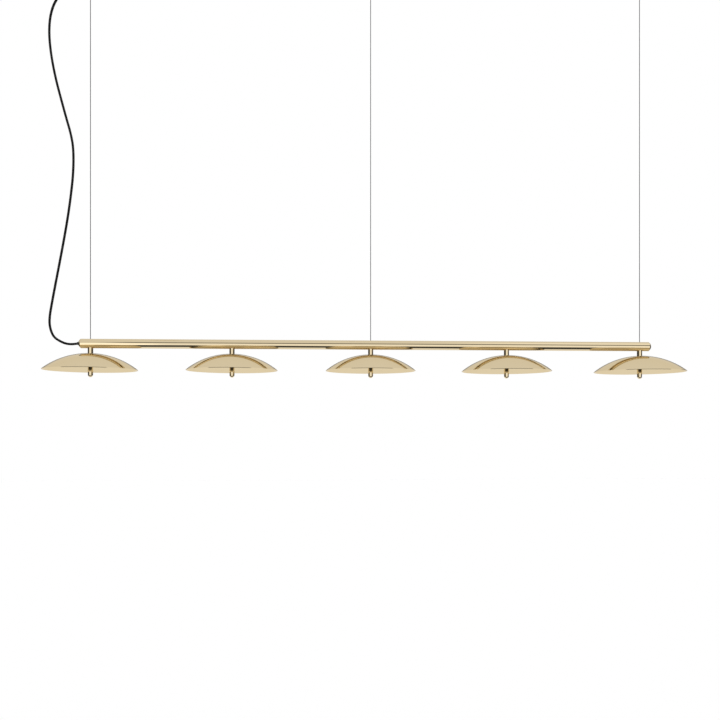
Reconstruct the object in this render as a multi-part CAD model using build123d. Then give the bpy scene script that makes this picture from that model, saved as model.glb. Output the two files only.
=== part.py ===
from build123d import *
import math
import os

# A linear island pendant: five shallow brass dishes under one straight brass rail, hung from the
# ceiling on three steel cables and fed by one black cord. Millimetres, +Z up, X along the rail.
# The origin is the screw hole of the middle cable's ceiling base, in the ceiling plane.

os.makedirs("parts", exist_ok=True)

# ---- clearances ----
SLIP = 0.1          # radial gap of a part pushed into or over another, and of a turning stud
THREAD_GAP = 0.05   # radial gap between plain cylinders that stand for mating threads
LOOSE = 0.4         # gap round a part that only has to pass

# ---- rail ----
SHADE_COUNT = 5
SHADE_SPACING = 380.0
RAIL_DROP = 1110.0        # ceiling to the rail's centre
RAIL_DIAMETER = 25.4
RAIL_WALL = 1.5
RAIL_OVERHANG = 25.0      # tube past the outer stems
DOME_RISE = 7.0
PLUG_LENGTH = 6.0
PLUG_WALL = 3.2

# ---- hub blocks inside the rail, one over each stem ----
HUB_LENGTH = 20.0
HUB_FLAT = 6.2            # from the rail's centre to the flat that leaves room for the wiring
POCKET_HEIGHT = 7.0       # top of the cable stop's pocket, above the rail's centre
LEAD_PORT_DROP = 2.0      # the lead's side hole, below the rail's centre

# ---- wiring ----
BUS_DIAMETER = 4.2
LEAD_DIAMETER = 1.8
LEAD_BEND = 2.0
BUS_BEND = 5.0

# ---- stems and the threaded tubes through them ----
STEM_DIAMETER = 14.0
STEM_LENGTH = 14.0        # from the bottom of the rail to the top of the dish
NIPPLE_DIAMETER = 10.0
NIPPLE_WALL = 1.5
NIPPLE_TOP_DROP = 4.5     # its top, below the rail's centre

# ---- dishes ----
SHADE_DIAMETER = 248.0
SHADE_RISE = 44.3
SHADE_SHEET = 1.2
LAND_DIAMETER = 20.0      # flat spot at the top of the dish, where it is clamped
NUT_FLANGE = 18.0
NUT_FLANGE_THICK = 1.2
NUT_HEX = 14.0
NUT_HEX_THICK = 3.5

# ---- light heads inside the dishes ----
BOSS_GAP = 0.6            # from the dish nut down to the head plate's boss
BOSS_DIAMETER = 18.0
BOSS_HEIGHT = 8.5
BOSS_BORE_DEPTH = 6.5
NIPPLE_ENGAGED = 4.0
PLATE_DIAMETER = 80.0
PLATE_THICK = 1.8
HUB_STUB_DIAMETER = 12.0
HUB_STUB_LENGTH = 8.6
BOARD_MARGIN = 4.0        # from the board's edge to the plate's
BOARD_THICK = 1.6
LED_COUNT = 12
LED_SIDE = 3.0
LED_HEIGHT = 0.8
LED_CIRCLE = 48.0
LEAD_DROP_OFFSET = 16.0   # from the head's centre to where the lead goes down through the plate
DIFFUSER_WALL = 1.6
DIFFUSER_LAP = 1.8        # how far its wall goes up past the underside of the plate
DIFFUSER_EDGE = 1.4

# ---- finials ----
STUD_DIAMETER = 6.0
STUD_ENGAGED = 4.0        # thread of 1 mm pitch in the plate's stub, so the finial takes four turns
STUD_RUNOUT = 1.0         # depth of the stub's bore past the stud's end
FINIAL_DIAMETER = 14.0    # at its shoulder, under the diffuser
FINIAL_END_DIAMETER = 13.2
FINIAL_BARREL = 30.7      # slightly tapered part above the round end

# ---- cables, stops and grippers ----
CABLE_DIAMETER = 2.0
STOP_DIAMETER = 6.2
STOP_LENGTH = 6.0
GRIP_DIAMETER = 16.0
GRIP_LENGTH = 32.0
GRIP_SOCKET = 9.5         # depth of the socket that screws onto the ceiling stud
GRIP_WEB = 2.0
GRIP_BORE = 8.6
GRIP_BORE_LENGTH = 9.5
GRIP_THROAT = 5.4         # bore at the lower end, round the release nose
CONE_LENGTH = 7.0
SPRING_GAP = 0.3          # between the spring's last turn and the collet at rest
SPRING_WIRE = 0.7
SPRING_TURNS = 3
COLLET_HEAD = 3.8         # straight part of the collet's head
CONE_GAP = 0.15
COLLET_SLOTS = 3
SLOT_WIDTH = 0.8
SLOT_LENGTH = 8.0
NOSE_LENGTH = 12.3        # from the cone's end down, of which most shows below the gripper
NOSE_EDGE = 0.5
GRIP_EDGE = 1.0
CABLE_TAIL = 1.5          # cable above the gripper's web

# ---- ceiling fittings ----
STUD_THREAD = 12.0        # thread that carries a gripper
STUD_HEIGHT = 9.0
BASE_DIAMETER = 38.0
BASE_THICK = 4.0
BASE_EDGE = 1.0
SCREW_HOLE = 4.6
SCREW_SEAT = 7.0          # depth of the screw hole's wall from the ceiling
SCREW_HEAD = 9.0

# ---- power canopy ----
CANOPY_DIAMETER = 127.0
CANOPY_DEPTH = 45.0
CANOPY_SHEET = 1.2
CANOPY_EDGE = 4.0
BRACKET_SCREWS = 88.9     # between the two ceiling screws
BRACKET_LENGTH = 108.0
BRACKET_WIDTH = 20.0
BRACKET_SHEET = 2.0
BRACKET_STEP = 10.0       # how far the middle stands off the ceiling
BRACKET_MIDDLE = 64.0     # length of the lowered middle
CANOPY_NIPPLE_WALL = 3.5
CANOPY_NIPPLE_RISE = 6.0  # above the bracket's middle
LOCKNUT_HEX = 17.0
LOCKNUT_THICK = 4.8
GLAND_OFFSET = 32.0       # from the canopy's centre towards -X
GLAND_DIAMETER = 12.0
GLAND_TIP = 9.0
GLAND_LENGTH = 22.0
GLAND_NUT = 17.0
GLAND_NUT_THICK = 4.0
GLAND_STUB = 2.0
DRIVER_SIZE = (34.0, 70.0, 20.0)
DRIVER_EDGE = 2.0
DRIVER_GAP = 8.0          # between the canopy's centre nipple and the driver
BLOCK_SIZE = (22.0, 24.0, 13.0)
BLOCK_OFFSET = (-33.0, 28.0)
BLOCK_SCREW = 3.6

# ---- power cord ----
CORD_DIAMETER = 6.4
FERRULE_DIAMETER = 8.4
FERRULE_PROUD = 3.0       # outside the end dome
FERRULE_FLANGE = 13.0
FERRULE_FLANGE_THICK = 2.0
FERRULE_FACE = 2.0        # thickness of its outer end
FERRULE_EDGE = 0.5
ARC_SHARE = 0.45          # of the shorter run beside a corner, taken up by the corner's arc
# X, Y and height above the rail, from the rail's end round the hanging loop to the canopy
CORD_POINTS = [
    (-795.0, 0.0, 0.0),
    (-812.0, 0.0, 0.0),
    (-832.0, -0.5, 1.5),
    (-857.0, -1.0, 18.0),
    (-866.2, -2.0, 38.5),
    (-868.2, -3.5, 64.0),
    (-860.8, -5.5, 106.0),
    (-847.0, -7.5, 176.0),
    (-832.1, -9.0, 252.0),
    (-818.1, -10.0, 330.0),
    (-808.6, -10.0, 398.0),
    (-802.4, -9.0, 462.0),
    (-802.7, -7.5, 525.0),
    (-811.0, -5.0, 567.0),
    (-822.2, -3.0, 604.0),
    (-835.4, -0.5, 651.0),
    (-850.6, 2.0, 706.0),
    (-863.1, 3.5, 765.0),
    (-870.0, 4.0, 818.0),
    (-870.7, 4.0, 858.0),
    (-866.2, 3.5, 893.0),
    (-855.3, 3.0, 924.0),
    (-834.0, 2.0, 953.0),
    (-815.0, 1.0, 982.0),
    (-799.5, 0.5, 1008.0),
    (-792.0, 0.0, 1029.0),
    (-792.0, 0.0, 1043.0),
]

# ---- worked out from the sizes above ----
RAIL_Z = -RAIL_DROP
RAIL_RADIUS = RAIL_DIAMETER / 2
RAIL_BORE_RADIUS = RAIL_RADIUS - RAIL_WALL
SHADE_PLACES = [(i - (SHADE_COUNT - 1) / 2) * SHADE_SPACING for i in range(SHADE_COUNT)]
CABLE_PLACES = {
    "left": SHADE_PLACES[0],
    "centre": SHADE_PLACES[(SHADE_COUNT - 1) // 2],
    "right": SHADE_PLACES[-1],
}
RAIL_HALF = SHADE_PLACES[-1] + RAIL_OVERHANG
DOME_SPHERE = (RAIL_RADIUS**2 + DOME_RISE**2) / (2 * DOME_RISE)
BUS_Y = RAIL_BORE_RADIUS - BUS_DIAMETER / 2 - LOOSE

NIPPLE_RADIUS = NIPPLE_DIAMETER / 2 - THREAD_GAP
NIPPLE_BORE_RADIUS = NIPPLE_DIAMETER / 2 - NIPPLE_WALL
CABLE_HOLE_RADIUS = CABLE_DIAMETER / 2 + LOOSE
LEAD_HOLE_RADIUS = LEAD_DIAMETER / 2 + LOOSE

SHADE_RADIUS = SHADE_DIAMETER / 2
SHADE_SPHERE = (SHADE_RADIUS**2 + SHADE_RISE**2) / (2 * SHADE_RISE)
LAND_RADIUS = LAND_DIAMETER / 2
LAND_Z = RAIL_Z - RAIL_RADIUS - STEM_LENGTH
SPHERE_Z = LAND_Z - math.sqrt(SHADE_SPHERE**2 - LAND_RADIUS**2)
RIM_Z = SPHERE_Z + SHADE_SPHERE - SHADE_RISE

NUT_TOP = LAND_Z - SHADE_SHEET
NUT_BOTTOM = NUT_TOP - NUT_FLANGE_THICK - NUT_HEX_THICK
BOSS_TOP = NUT_BOTTOM - BOSS_GAP
BOSS_FLOOR = BOSS_TOP - BOSS_BORE_DEPTH
NIPPLE_BOTTOM = BOSS_TOP - NIPPLE_ENGAGED
PORT_Z = (NIPPLE_BOTTOM + BOSS_FLOOR) / 2
PLATE_TOP = BOSS_TOP - BOSS_HEIGHT
PLATE_BOTTOM = PLATE_TOP - PLATE_THICK
STUB_BOTTOM = PLATE_BOTTOM - HUB_STUB_LENGTH
FINIAL_TOP = STUB_BOTTOM - DIFFUSER_WALL
STUD_RADIUS = STUD_DIAMETER / 2
STUD_TOP = STUB_BOTTOM + STUD_ENGAGED
BOARD_RADIUS = PLATE_DIAMETER / 2 - BOARD_MARGIN
DIFFUSER_BORE = PLATE_DIAMETER / 2 + LOOSE
FINIAL_END_RADIUS = FINIAL_END_DIAMETER / 2

STUD_THREAD_RADIUS = STUD_THREAD / 2
CANOPY_X = CABLE_PLACES["left"]
CANOPY_RADIUS = CANOPY_DIAMETER / 2
CANOPY_FLOOR = -CANOPY_DEPTH + CANOPY_SHEET
GRIP_TOPS = {"left": -CANOPY_DEPTH, "centre": -BASE_THICK, "right": -BASE_THICK}
SPRING_LENGTH = GRIP_BORE_LENGTH - COLLET_HEAD - SPRING_GAP
SPRING_RADIUS = GRIP_BORE / 2 - SPRING_WIRE / 2 - LOOSE
SPRING_PITCH = (SPRING_LENGTH - SPRING_WIRE) / SPRING_TURNS
BRACKET_MIDDLE_TOP = -BRACKET_STEP
BRACKET_MIDDLE_BOTTOM = BRACKET_MIDDLE_TOP - BRACKET_SHEET
GLAND_X = CANOPY_X - GLAND_OFFSET
DRIVER_FACE_X = CANOPY_X + STUD_THREAD_RADIUS + DRIVER_GAP


# ---- shape helpers ----
def rod(radius, bottom, top, x=0.0, y=0.0):
    """A round bar standing along Z."""
    return Pos(x, y, (bottom + top) / 2) * Cylinder(radius, top - bottom)


def bar_x(radius, start, end, y=0.0, z=RAIL_Z):
    """A round bar lying along X."""
    return Pos((start + end) / 2, y, z) * Rot(0, 90, 0) * Cylinder(radius, end - start)


def bar_y(radius, start, end, x, z):
    """A round bar lying along Y."""
    return Pos(x, (start + end) / 2, z) * Rot(90, 0, 0) * Cylinder(radius, end - start)


def block(x0, x1, y0, y1, z0, z1):
    """A box between two corners."""
    return Pos((x0 + x1) / 2, (y0 + y1) / 2, (z0 + z1) / 2) * Box(x1 - x0, y1 - y0, z1 - z0)


def hexagon(across, bottom, top, x=0.0, y=0.0):
    """A hexagonal bar standing along Z, by its size across flats."""
    outline = Pos(x, y, bottom) * RegularPolygon(across / 2, 6, major_radius=False)
    return extrude(outline, top - bottom)


def cone(low_radius, high_radius, bottom, top, x=0.0):
    """A cone standing along Z."""
    return Pos(x, 0, (bottom + top) / 2) * Cone(low_radius, high_radius, top - bottom)


def tube_along(points, radii, diameter):
    """A round wire along straight runs joined by tangent arcs."""
    path = FilletPolyline(*points, radius=radii)
    start = Plane(origin=path @ 0, z_dir=path % 0)
    return sweep(start * Circle(diameter / 2), path=path)


def group(solids):
    """Separate solids that share one node."""
    return Compound(children=list(solids))


# ---- rail ----
def rail_tube():
    tube = bar_x(RAIL_RADIUS, -RAIL_HALF, RAIL_HALF)
    tube -= bar_x(RAIL_BORE_RADIUS, -RAIL_HALF, RAIL_HALF)
    for x in SHADE_PLACES:
        tube -= rod(NIPPLE_DIAMETER / 2 + SLIP, RAIL_Z - RAIL_DIAMETER, RAIL_Z, x)
    for x in CABLE_PLACES.values():
        tube -= rod(CABLE_HOLE_RADIUS, RAIL_Z, RAIL_Z + RAIL_DIAMETER, x)
    return tube


def end_cap():
    """The right-hand cap: a shallow dome with a hollow plug that is pressed into the tube."""
    centre = RAIL_HALF + DOME_RISE - DOME_SPHERE
    reach = 3 * DOME_SPHERE
    inside = block(RAIL_HALF - reach, RAIL_HALF, -reach, reach, RAIL_Z - reach, RAIL_Z + reach)
    dome = Pos(centre, 0, RAIL_Z) * Rot(0, 90, 0) * Sphere(DOME_SPHERE) - inside
    plug = bar_x(RAIL_BORE_RADIUS - SLIP, RAIL_HALF - PLUG_LENGTH, RAIL_HALF)
    plug -= bar_x(RAIL_BORE_RADIUS - PLUG_WALL, RAIL_HALF - PLUG_LENGTH, RAIL_HALF)
    return dome + plug


def end_cap_for_cord():
    """The left-hand cap, with a hole for the cord's ferrule."""
    cap = end_cap().moved(Rot(0, 0, 180))
    return cap - bar_x(FERRULE_DIAMETER / 2 + SLIP, -RAIL_HALF - 2 * DOME_RISE, -RAIL_HALF)


def cord_ferrule():
    """Black bush that holds the cord in the end dome, with a flange behind the dome."""
    tip = -RAIL_HALF - DOME_RISE - FERRULE_PROUD
    inner_end = -RAIL_HALF + FERRULE_FLANGE_THICK
    bush = bar_x(FERRULE_DIAMETER / 2, tip, inner_end)
    bush += bar_x(FERRULE_FLANGE / 2, -RAIL_HALF, inner_end)
    bush -= bar_x(BUS_DIAMETER / 2 + SLIP, tip + FERRULE_FACE, inner_end)
    outer_edge = bush.edges().filter_by(GeomType.CIRCLE).sort_by(Axis.X)[0]
    return chamfer(outer_edge, FERRULE_EDGE)


def rail_hub(x):
    """Brass block that carries a stem's threaded tube and, under a cable, the cable's stop."""
    hub = bar_x(RAIL_BORE_RADIUS - SLIP, x - HUB_LENGTH / 2, x + HUB_LENGTH / 2)
    hub -= block(x - HUB_LENGTH, x + HUB_LENGTH, HUB_FLAT, RAIL_DIAMETER,
                 RAIL_Z - RAIL_DIAMETER, RAIL_Z + RAIL_DIAMETER)
    hub -= rod(NIPPLE_DIAMETER / 2, RAIL_Z - RAIL_DIAMETER, RAIL_Z, x)
    hub -= rod(STOP_DIAMETER / 2 + SLIP, RAIL_Z, RAIL_Z + POCKET_HEIGHT, x)
    hub -= rod(CABLE_HOLE_RADIUS, RAIL_Z, RAIL_Z + RAIL_DIAMETER, x)
    hub -= bar_y(LEAD_HOLE_RADIUS, 0, RAIL_RADIUS, x, RAIL_Z - LEAD_PORT_DROP)
    return hub


def rail_wiring():
    """The feed inside the rail, from the ferrule past every hub."""
    start = -RAIL_HALF - DOME_RISE - FERRULE_PROUD + FERRULE_FACE + SLIP
    bend_in = -RAIL_HALF + FERRULE_FLANGE_THICK + BUS_BEND / 2
    bend_out = SHADE_PLACES[0] - HUB_LENGTH / 2 - BUS_BEND / 2
    points = [
        (start, 0, RAIL_Z),
        (bend_in, 0, RAIL_Z),
        (bend_out, BUS_Y, RAIL_Z),
        (SHADE_PLACES[-1] + HUB_LENGTH / 2, BUS_Y, RAIL_Z),
    ]
    return tube_along(points, [BUS_BEND, BUS_BEND], BUS_DIAMETER)


def cable_stop(x):
    """Sleeve swaged onto a cable's end, held up in the hub's pocket by the cable's pull."""
    top = RAIL_Z + POCKET_HEIGHT
    return rod(STOP_DIAMETER / 2, top - STOP_LENGTH, top, x)


# ---- stems and what runs through them ----
def stem(x):
    """A sleeve coped to the rail above and flat on the dish below."""
    sleeve = rod(STEM_DIAMETER / 2, LAND_Z, RAIL_Z, x)
    sleeve -= rod(NIPPLE_DIAMETER / 2 + SLIP, LAND_Z, RAIL_Z, x)
    return sleeve - bar_x(RAIL_RADIUS, x - STEM_DIAMETER, x + STEM_DIAMETER)


def lamp_nipple(x):
    """Threaded tube from the hub down to the head plate's boss."""
    top = RAIL_Z - NIPPLE_TOP_DROP
    tube = rod(NIPPLE_RADIUS, NIPPLE_BOTTOM, top, x)
    return tube - rod(NIPPLE_BORE_RADIUS, NIPPLE_BOTTOM, top, x)


def lamp_lead(x):
    """From the feed in the rail, down through the stem and out to the light board."""
    port = RAIL_Z - LEAD_PORT_DROP
    points = [
        (x, BUS_Y - BUS_DIAMETER / 2, port),
        (x, 0, port),
        (x, 0, PORT_Z),
        (x, LEAD_DROP_OFFSET, PORT_Z),
        (x, LEAD_DROP_OFFSET, PLATE_BOTTOM),
    ]
    return tube_along(points, [LEAD_BEND] * 3, LEAD_DIAMETER)


# ---- dishes ----
def sphere_height(sphere, radius):
    """Height of a sphere about the dish's centre of curvature, at a distance from the axis."""
    return SPHERE_Z + math.sqrt(sphere**2 - radius**2)


def shade(x):
    """A spun dish: a spherical cap with a flat land on top and its edge cut square to the sheet."""
    inner_sphere = SHADE_SPHERE - SHADE_SHEET
    inner_rim = SHADE_RADIUS * inner_sphere / SHADE_SPHERE
    inner_land = math.sqrt(inner_sphere**2 - (LAND_Z - SHADE_SHEET - SPHERE_Z) ** 2)
    hole = NIPPLE_DIAMETER / 2 + SLIP
    middle = SHADE_RADIUS / 2

    outside = ThreePointArc(
        (LAND_RADIUS, LAND_Z),
        (middle, sphere_height(SHADE_SPHERE, middle)),
        (SHADE_RADIUS, RIM_Z),
    )
    inside = ThreePointArc(
        (inner_rim, sphere_height(inner_sphere, inner_rim)),
        (middle, sphere_height(inner_sphere, middle)),
        (inner_land, LAND_Z - SHADE_SHEET),
    )
    land = Polyline(inside @ 1, (hole, LAND_Z - SHADE_SHEET), (hole, LAND_Z), outside @ 0)
    edge = Line(outside @ 1, inside @ 0)
    outline = make_face([outside, edge, inside, *land.edges()])
    return Pos(x, 0, 0) * revolve(Plane.XZ * outline, Axis.Z)


def shade_nut(x):
    """Flanged nut that clamps the dish up against its stem."""
    nut = rod(NUT_FLANGE / 2, NUT_TOP - NUT_FLANGE_THICK, NUT_TOP, x)
    nut += hexagon(NUT_HEX, NUT_BOTTOM, NUT_TOP - NUT_FLANGE_THICK, x)
    return nut - rod(NIPPLE_DIAMETER / 2, NUT_BOTTOM, NUT_TOP, x)


# ---- light heads ----
def head_plate(x):
    """Heat plate on the threaded tube, with a stub below that takes the finial's stud."""
    plate = rod(PLATE_DIAMETER / 2, PLATE_BOTTOM, PLATE_TOP, x)
    plate += rod(BOSS_DIAMETER / 2, PLATE_TOP, BOSS_TOP, x)
    plate += rod(HUB_STUB_DIAMETER / 2, STUB_BOTTOM, PLATE_BOTTOM, x)
    plate -= rod(NIPPLE_DIAMETER / 2, BOSS_FLOOR, BOSS_TOP, x)
    plate -= bar_y(LEAD_HOLE_RADIUS, 0, BOSS_DIAMETER, x, PORT_Z)
    plate -= rod(LEAD_HOLE_RADIUS, PLATE_BOTTOM, PLATE_TOP, x, LEAD_DROP_OFFSET)
    plate -= rod(STUD_RADIUS + THREAD_GAP, STUB_BOTTOM, STUD_TOP + STUD_RUNOUT, x)
    return plate


def led_board(x):
    """Ring-shaped board under the plate, with its circle of light sources."""
    board = rod(BOARD_RADIUS, PLATE_BOTTOM - BOARD_THICK, PLATE_BOTTOM, x)
    board -= rod(HUB_STUB_DIAMETER / 2 + LOOSE, PLATE_BOTTOM - BOARD_THICK, PLATE_BOTTOM, x)
    under = PLATE_BOTTOM - BOARD_THICK
    chip = Pos(LED_CIRCLE / 2, 0, under - LED_HEIGHT / 2) * Box(LED_SIDE, LED_SIDE, LED_HEIGHT)
    for i in range(LED_COUNT):
        board += Pos(x, 0, 0) * Rot(0, 0, 360 * i / LED_COUNT) * chip
    return board


def diffuser(x):
    """Opal drum round the plate's edge, held up by the finial's shoulder."""
    top = PLATE_BOTTOM + DIFFUSER_LAP
    drum = rod(DIFFUSER_BORE + DIFFUSER_WALL, FINIAL_TOP, top, x)
    drum -= rod(DIFFUSER_BORE, STUB_BOTTOM, top, x)
    lower_edge = drum.edges().filter_by(GeomType.CIRCLE).sort_by(Axis.Z)[0]
    drum = fillet(lower_edge, DIFFUSER_EDGE)
    return drum - rod(STUD_RADIUS + SLIP, FINIAL_TOP, STUB_BOTTOM, x)


def finial(x):
    """Long round-ended brass nut with its own stud, turned by hand to free the diffuser."""
    barrel_bottom = FINIAL_TOP - FINIAL_BARREL
    body = cone(FINIAL_END_RADIUS, FINIAL_DIAMETER / 2, barrel_bottom, FINIAL_TOP, x)
    above = block(x - FINIAL_DIAMETER, x + FINIAL_DIAMETER, -FINIAL_DIAMETER, FINIAL_DIAMETER,
                  barrel_bottom, barrel_bottom + FINIAL_DIAMETER)
    body += Pos(x, 0, barrel_bottom) * Sphere(FINIAL_END_RADIUS) - above
    return body + rod(STUD_RADIUS, FINIAL_TOP, STUD_TOP, x)


# ---- cables and grippers ----
def cable(side):
    """Steel cable from the hub's pocket, through the gripper."""
    top = GRIP_TOPS[side] - GRIP_SOCKET + CABLE_TAIL
    return rod(CABLE_DIAMETER / 2, RAIL_Z + POCKET_HEIGHT, top, CABLE_PLACES[side])


def gripper(side):
    """Cable gripper: a socket above, a web, the spring's bore and a cone that narrows downwards."""
    x = CABLE_PLACES[side]
    top = GRIP_TOPS[side]
    bottom = top - GRIP_LENGTH
    bore_top = top - GRIP_SOCKET - GRIP_WEB
    cone_top = bore_top - GRIP_BORE_LENGTH
    cone_bottom = cone_top - CONE_LENGTH
    body = rod(GRIP_DIAMETER / 2, bottom, top, x)
    body = fillet(body.edges().filter_by(GeomType.CIRCLE).sort_by(Axis.Z)[0], GRIP_EDGE)
    body -= rod(STUD_THREAD_RADIUS + THREAD_GAP, top - GRIP_SOCKET, top, x)
    body -= rod(CABLE_HOLE_RADIUS, bore_top, top, x)
    body -= rod(GRIP_BORE / 2, cone_top, bore_top, x)
    body -= cone(GRIP_THROAT / 2, GRIP_BORE / 2, cone_bottom, cone_top, x)
    return body - rod(GRIP_THROAT / 2, bottom, cone_bottom, x)


def release(side):
    """Slotted collet that grips the cable, with the nose that is pushed up to free it."""
    x = CABLE_PLACES[side]
    cone_top = GRIP_TOPS[side] - GRIP_SOCKET - GRIP_WEB - GRIP_BORE_LENGTH
    cone_bottom = cone_top - CONE_LENGTH
    head_radius = GRIP_BORE / 2 - CONE_GAP
    nose_radius = GRIP_THROAT / 2 - SLIP
    head_top = cone_top + COLLET_HEAD
    nose_bottom = cone_bottom - NOSE_LENGTH
    nose = rod(nose_radius, nose_bottom, cone_bottom, x)
    nose = chamfer(nose.edges().filter_by(GeomType.CIRCLE).sort_by(Axis.Z)[0], NOSE_EDGE)
    body = nose + cone(nose_radius, head_radius, cone_bottom, cone_top, x)
    body += rod(head_radius, cone_top, head_top, x)
    body -= rod(CABLE_DIAMETER / 2 + SLIP, nose_bottom, head_top, x)
    slot = block(0, GRIP_BORE, -SLOT_WIDTH / 2, SLOT_WIDTH / 2, head_top - SLOT_LENGTH, head_top)
    for i in range(COLLET_SLOTS):
        body -= Pos(x, 0, 0) * Rot(0, 0, 360 * i / COLLET_SLOTS) * slot
    return body


def helix_point(turn):
    angle = 2 * math.pi * turn
    return Vector(SPRING_RADIUS * math.cos(angle), SPRING_RADIUS * math.sin(angle), SPRING_PITCH * turn)


def helix_tangent(turn):
    angle = 2 * math.pi * turn
    rise = SPRING_PITCH / (2 * math.pi)
    return Vector(-SPRING_RADIUS * math.sin(angle), SPRING_RADIUS * math.cos(angle), rise).normalized()


def biarc(start, start_tangent, end, end_tangent):
    """Two circular arcs that join two points and keep both tangents."""
    across = end - start
    both = start_tangent + end_tangent
    spread = 2 * (1 - start_tangent.dot(end_tangent))
    along = across.dot(both)
    reach = (math.sqrt(along**2 + spread * across.dot(across)) - along) / spread
    first = start + start_tangent * reach
    second = end - end_tangent * reach
    join = (first + second) * 0.5
    return [
        Edge.make_tangent_arc(start, start_tangent, join),
        Edge.make_tangent_arc(join, (second - first).normalized(), end),
    ]


def spring(side):
    """Compression spring between the gripper's web and the collet, one unbroken coil of wire."""
    arcs = []
    for i in range(4 * SPRING_TURNS):
        here = i / 4
        there = (i + 1) / 4
        arcs += biarc(helix_point(here), helix_tangent(here), helix_point(there), helix_tangent(there))
    path = Wire(arcs)
    wire = sweep(Plane(origin=path @ 0, z_dir=path % 0) * Circle(SPRING_WIRE / 2), path=path)
    seat = GRIP_TOPS[side] - GRIP_SOCKET - GRIP_WEB
    return Pos(CABLE_PLACES[side], 0, seat - SPRING_LENGTH + SPRING_WIRE / 2) * wire


def spring_gap():
    """Least gap between neighbouring turns, measured on points of the coil."""
    steps = 24
    points = [helix_point(i / steps) for i in range(steps * SPRING_TURNS + 1)]
    apart = [(a - b).length for i, a in enumerate(points) for b in points[i + steps // 2:]]
    return min(apart) - SPRING_WIRE


# ---- ceiling fittings ----
def ceiling_base(side):
    """Disc screwed to the ceiling through its middle, with a threaded stud for the gripper."""
    x = CABLE_PLACES[side]
    disc = rod(BASE_DIAMETER / 2, -BASE_THICK, 0, x)
    disc = fillet(disc.edges().filter_by(GeomType.CIRCLE).sort_by(Axis.Z)[0], BASE_EDGE)
    base = disc + rod(STUD_THREAD_RADIUS, -BASE_THICK - STUD_HEIGHT, -BASE_THICK, x)
    base -= rod(SCREW_HOLE / 2, -SCREW_SEAT, 0, x)
    return base - rod(SCREW_HEAD / 2, -BASE_THICK - STUD_HEIGHT, -SCREW_SEAT, x)


def canopy_cover():
    """Spun cup against the ceiling, clamped up by the gripper on the middle nipple."""
    cup = rod(CANOPY_RADIUS, -CANOPY_DEPTH, 0, CANOPY_X)
    cup = fillet(cup.edges().filter_by(GeomType.CIRCLE).sort_by(Axis.Z)[0], CANOPY_EDGE)
    hollow = rod(CANOPY_RADIUS - CANOPY_SHEET, CANOPY_FLOOR, 0, CANOPY_X)
    inner_edge = hollow.edges().filter_by(GeomType.CIRCLE).sort_by(Axis.Z)[0]
    cup -= fillet(inner_edge, CANOPY_EDGE - CANOPY_SHEET)
    cup -= rod(STUD_THREAD_RADIUS + SLIP, -CANOPY_DEPTH, CANOPY_FLOOR, CANOPY_X)
    return cup - rod(GLAND_DIAMETER / 2 - LOOSE + SLIP, -CANOPY_DEPTH, CANOPY_FLOOR, GLAND_X)


def canopy_bracket():
    """Steel bar stepped down in the middle, with a hole near each end for a ceiling screw."""
    half_width = BRACKET_WIDTH / 2
    x0 = CANOPY_X - half_width
    x1 = CANOPY_X + half_width
    step = BRACKET_MIDDLE / 2
    end = BRACKET_LENGTH / 2
    bar = block(x0, x1, -step, step, BRACKET_MIDDLE_BOTTOM, BRACKET_MIDDLE_TOP)
    for sign in (-1, 1):
        low, high = sorted((sign * step, sign * (step - BRACKET_SHEET)))
        bar += block(x0, x1, low, high, BRACKET_MIDDLE_BOTTOM, 0)
        low, high = sorted((sign * (step - BRACKET_SHEET), sign * end))
        bar += block(x0, x1, low, high, -BRACKET_SHEET, 0)
        bar -= rod(SCREW_HOLE / 2, -BRACKET_SHEET, 0, CANOPY_X, sign * BRACKET_SCREWS / 2)
    return bar - rod(STUD_THREAD_RADIUS + SLIP, BRACKET_MIDDLE_BOTTOM, BRACKET_MIDDLE_TOP, CANOPY_X)


def canopy_nipple():
    """Threaded tube from the bracket, through the cover, to the gripper that clamps it."""
    top = BRACKET_MIDDLE_TOP + CANOPY_NIPPLE_RISE
    bottom = -CANOPY_DEPTH - STUD_HEIGHT
    tube = rod(STUD_THREAD_RADIUS, bottom, top, CANOPY_X)
    return tube - rod(STUD_THREAD_RADIUS - CANOPY_NIPPLE_WALL, bottom, top, CANOPY_X)


def locknut(bottom):
    """Nut that holds the nipple to the bracket, above and below."""
    nut = hexagon(LOCKNUT_HEX, bottom, bottom + LOCKNUT_THICK, CANOPY_X)
    return nut - rod(STUD_THREAD_RADIUS + THREAD_GAP, bottom, bottom + LOCKNUT_THICK, CANOPY_X)


def cord_gland():
    """Tapered cord grip under the canopy, with its nut inside."""
    shoulder = GLAND_DIAMETER / 2
    body = cone(GLAND_TIP / 2, shoulder, -CANOPY_DEPTH - GLAND_LENGTH, -CANOPY_DEPTH, GLAND_X)
    body += rod(shoulder - LOOSE, -CANOPY_DEPTH, CANOPY_FLOOR + GLAND_NUT_THICK + GLAND_STUB, GLAND_X)
    return body + hexagon(GLAND_NUT, CANOPY_FLOOR, CANOPY_FLOOR + GLAND_NUT_THICK, GLAND_X)


def led_driver():
    """Power supply in its case, on the canopy's floor."""
    length_x, length_y, height = DRIVER_SIZE
    case = block(DRIVER_FACE_X, DRIVER_FACE_X + length_x, -length_y / 2, length_y / 2,
                 CANOPY_FLOOR, CANOPY_FLOOR + height)
    return chamfer(case.edges().filter_by(Axis.Z), DRIVER_EDGE)


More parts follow.
